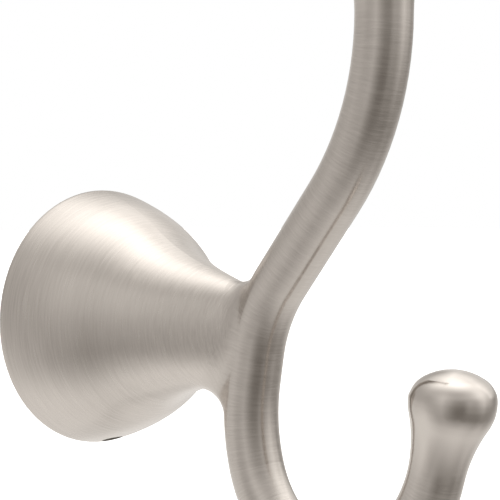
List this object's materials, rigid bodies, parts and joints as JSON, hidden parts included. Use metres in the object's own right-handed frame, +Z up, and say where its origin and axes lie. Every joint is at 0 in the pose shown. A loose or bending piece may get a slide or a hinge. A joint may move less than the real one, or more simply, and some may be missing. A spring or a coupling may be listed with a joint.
{
  "type": "double wall hook",
  "caption": "Double wall hook: a round bell-shaped base on a hidden wall bracket carries one bent round bar with an upper prong and a lower J hook, each ending in a domed knob.",
  "frame": {"origin": "centre of the round base on the wall face", "axes": "+Z up, -Y out of the wall, X along the wall"},
  "size_m": [0.051, 0.0993, 0.1203],
  "materials": {
    "brushed_nickel": "satin nickel plate, brushed round the base and round the bar",
    "bare_zinc": "bare cast zinc, matt",
    "screw_steel": "plain turned steel"
  },
  "bodies": {
    "root": {"hook_casting": "brushed_nickel", "mounting_bracket": "bare_zinc", "set_screw": "screw_steel"}
  },
  "joints": []
}
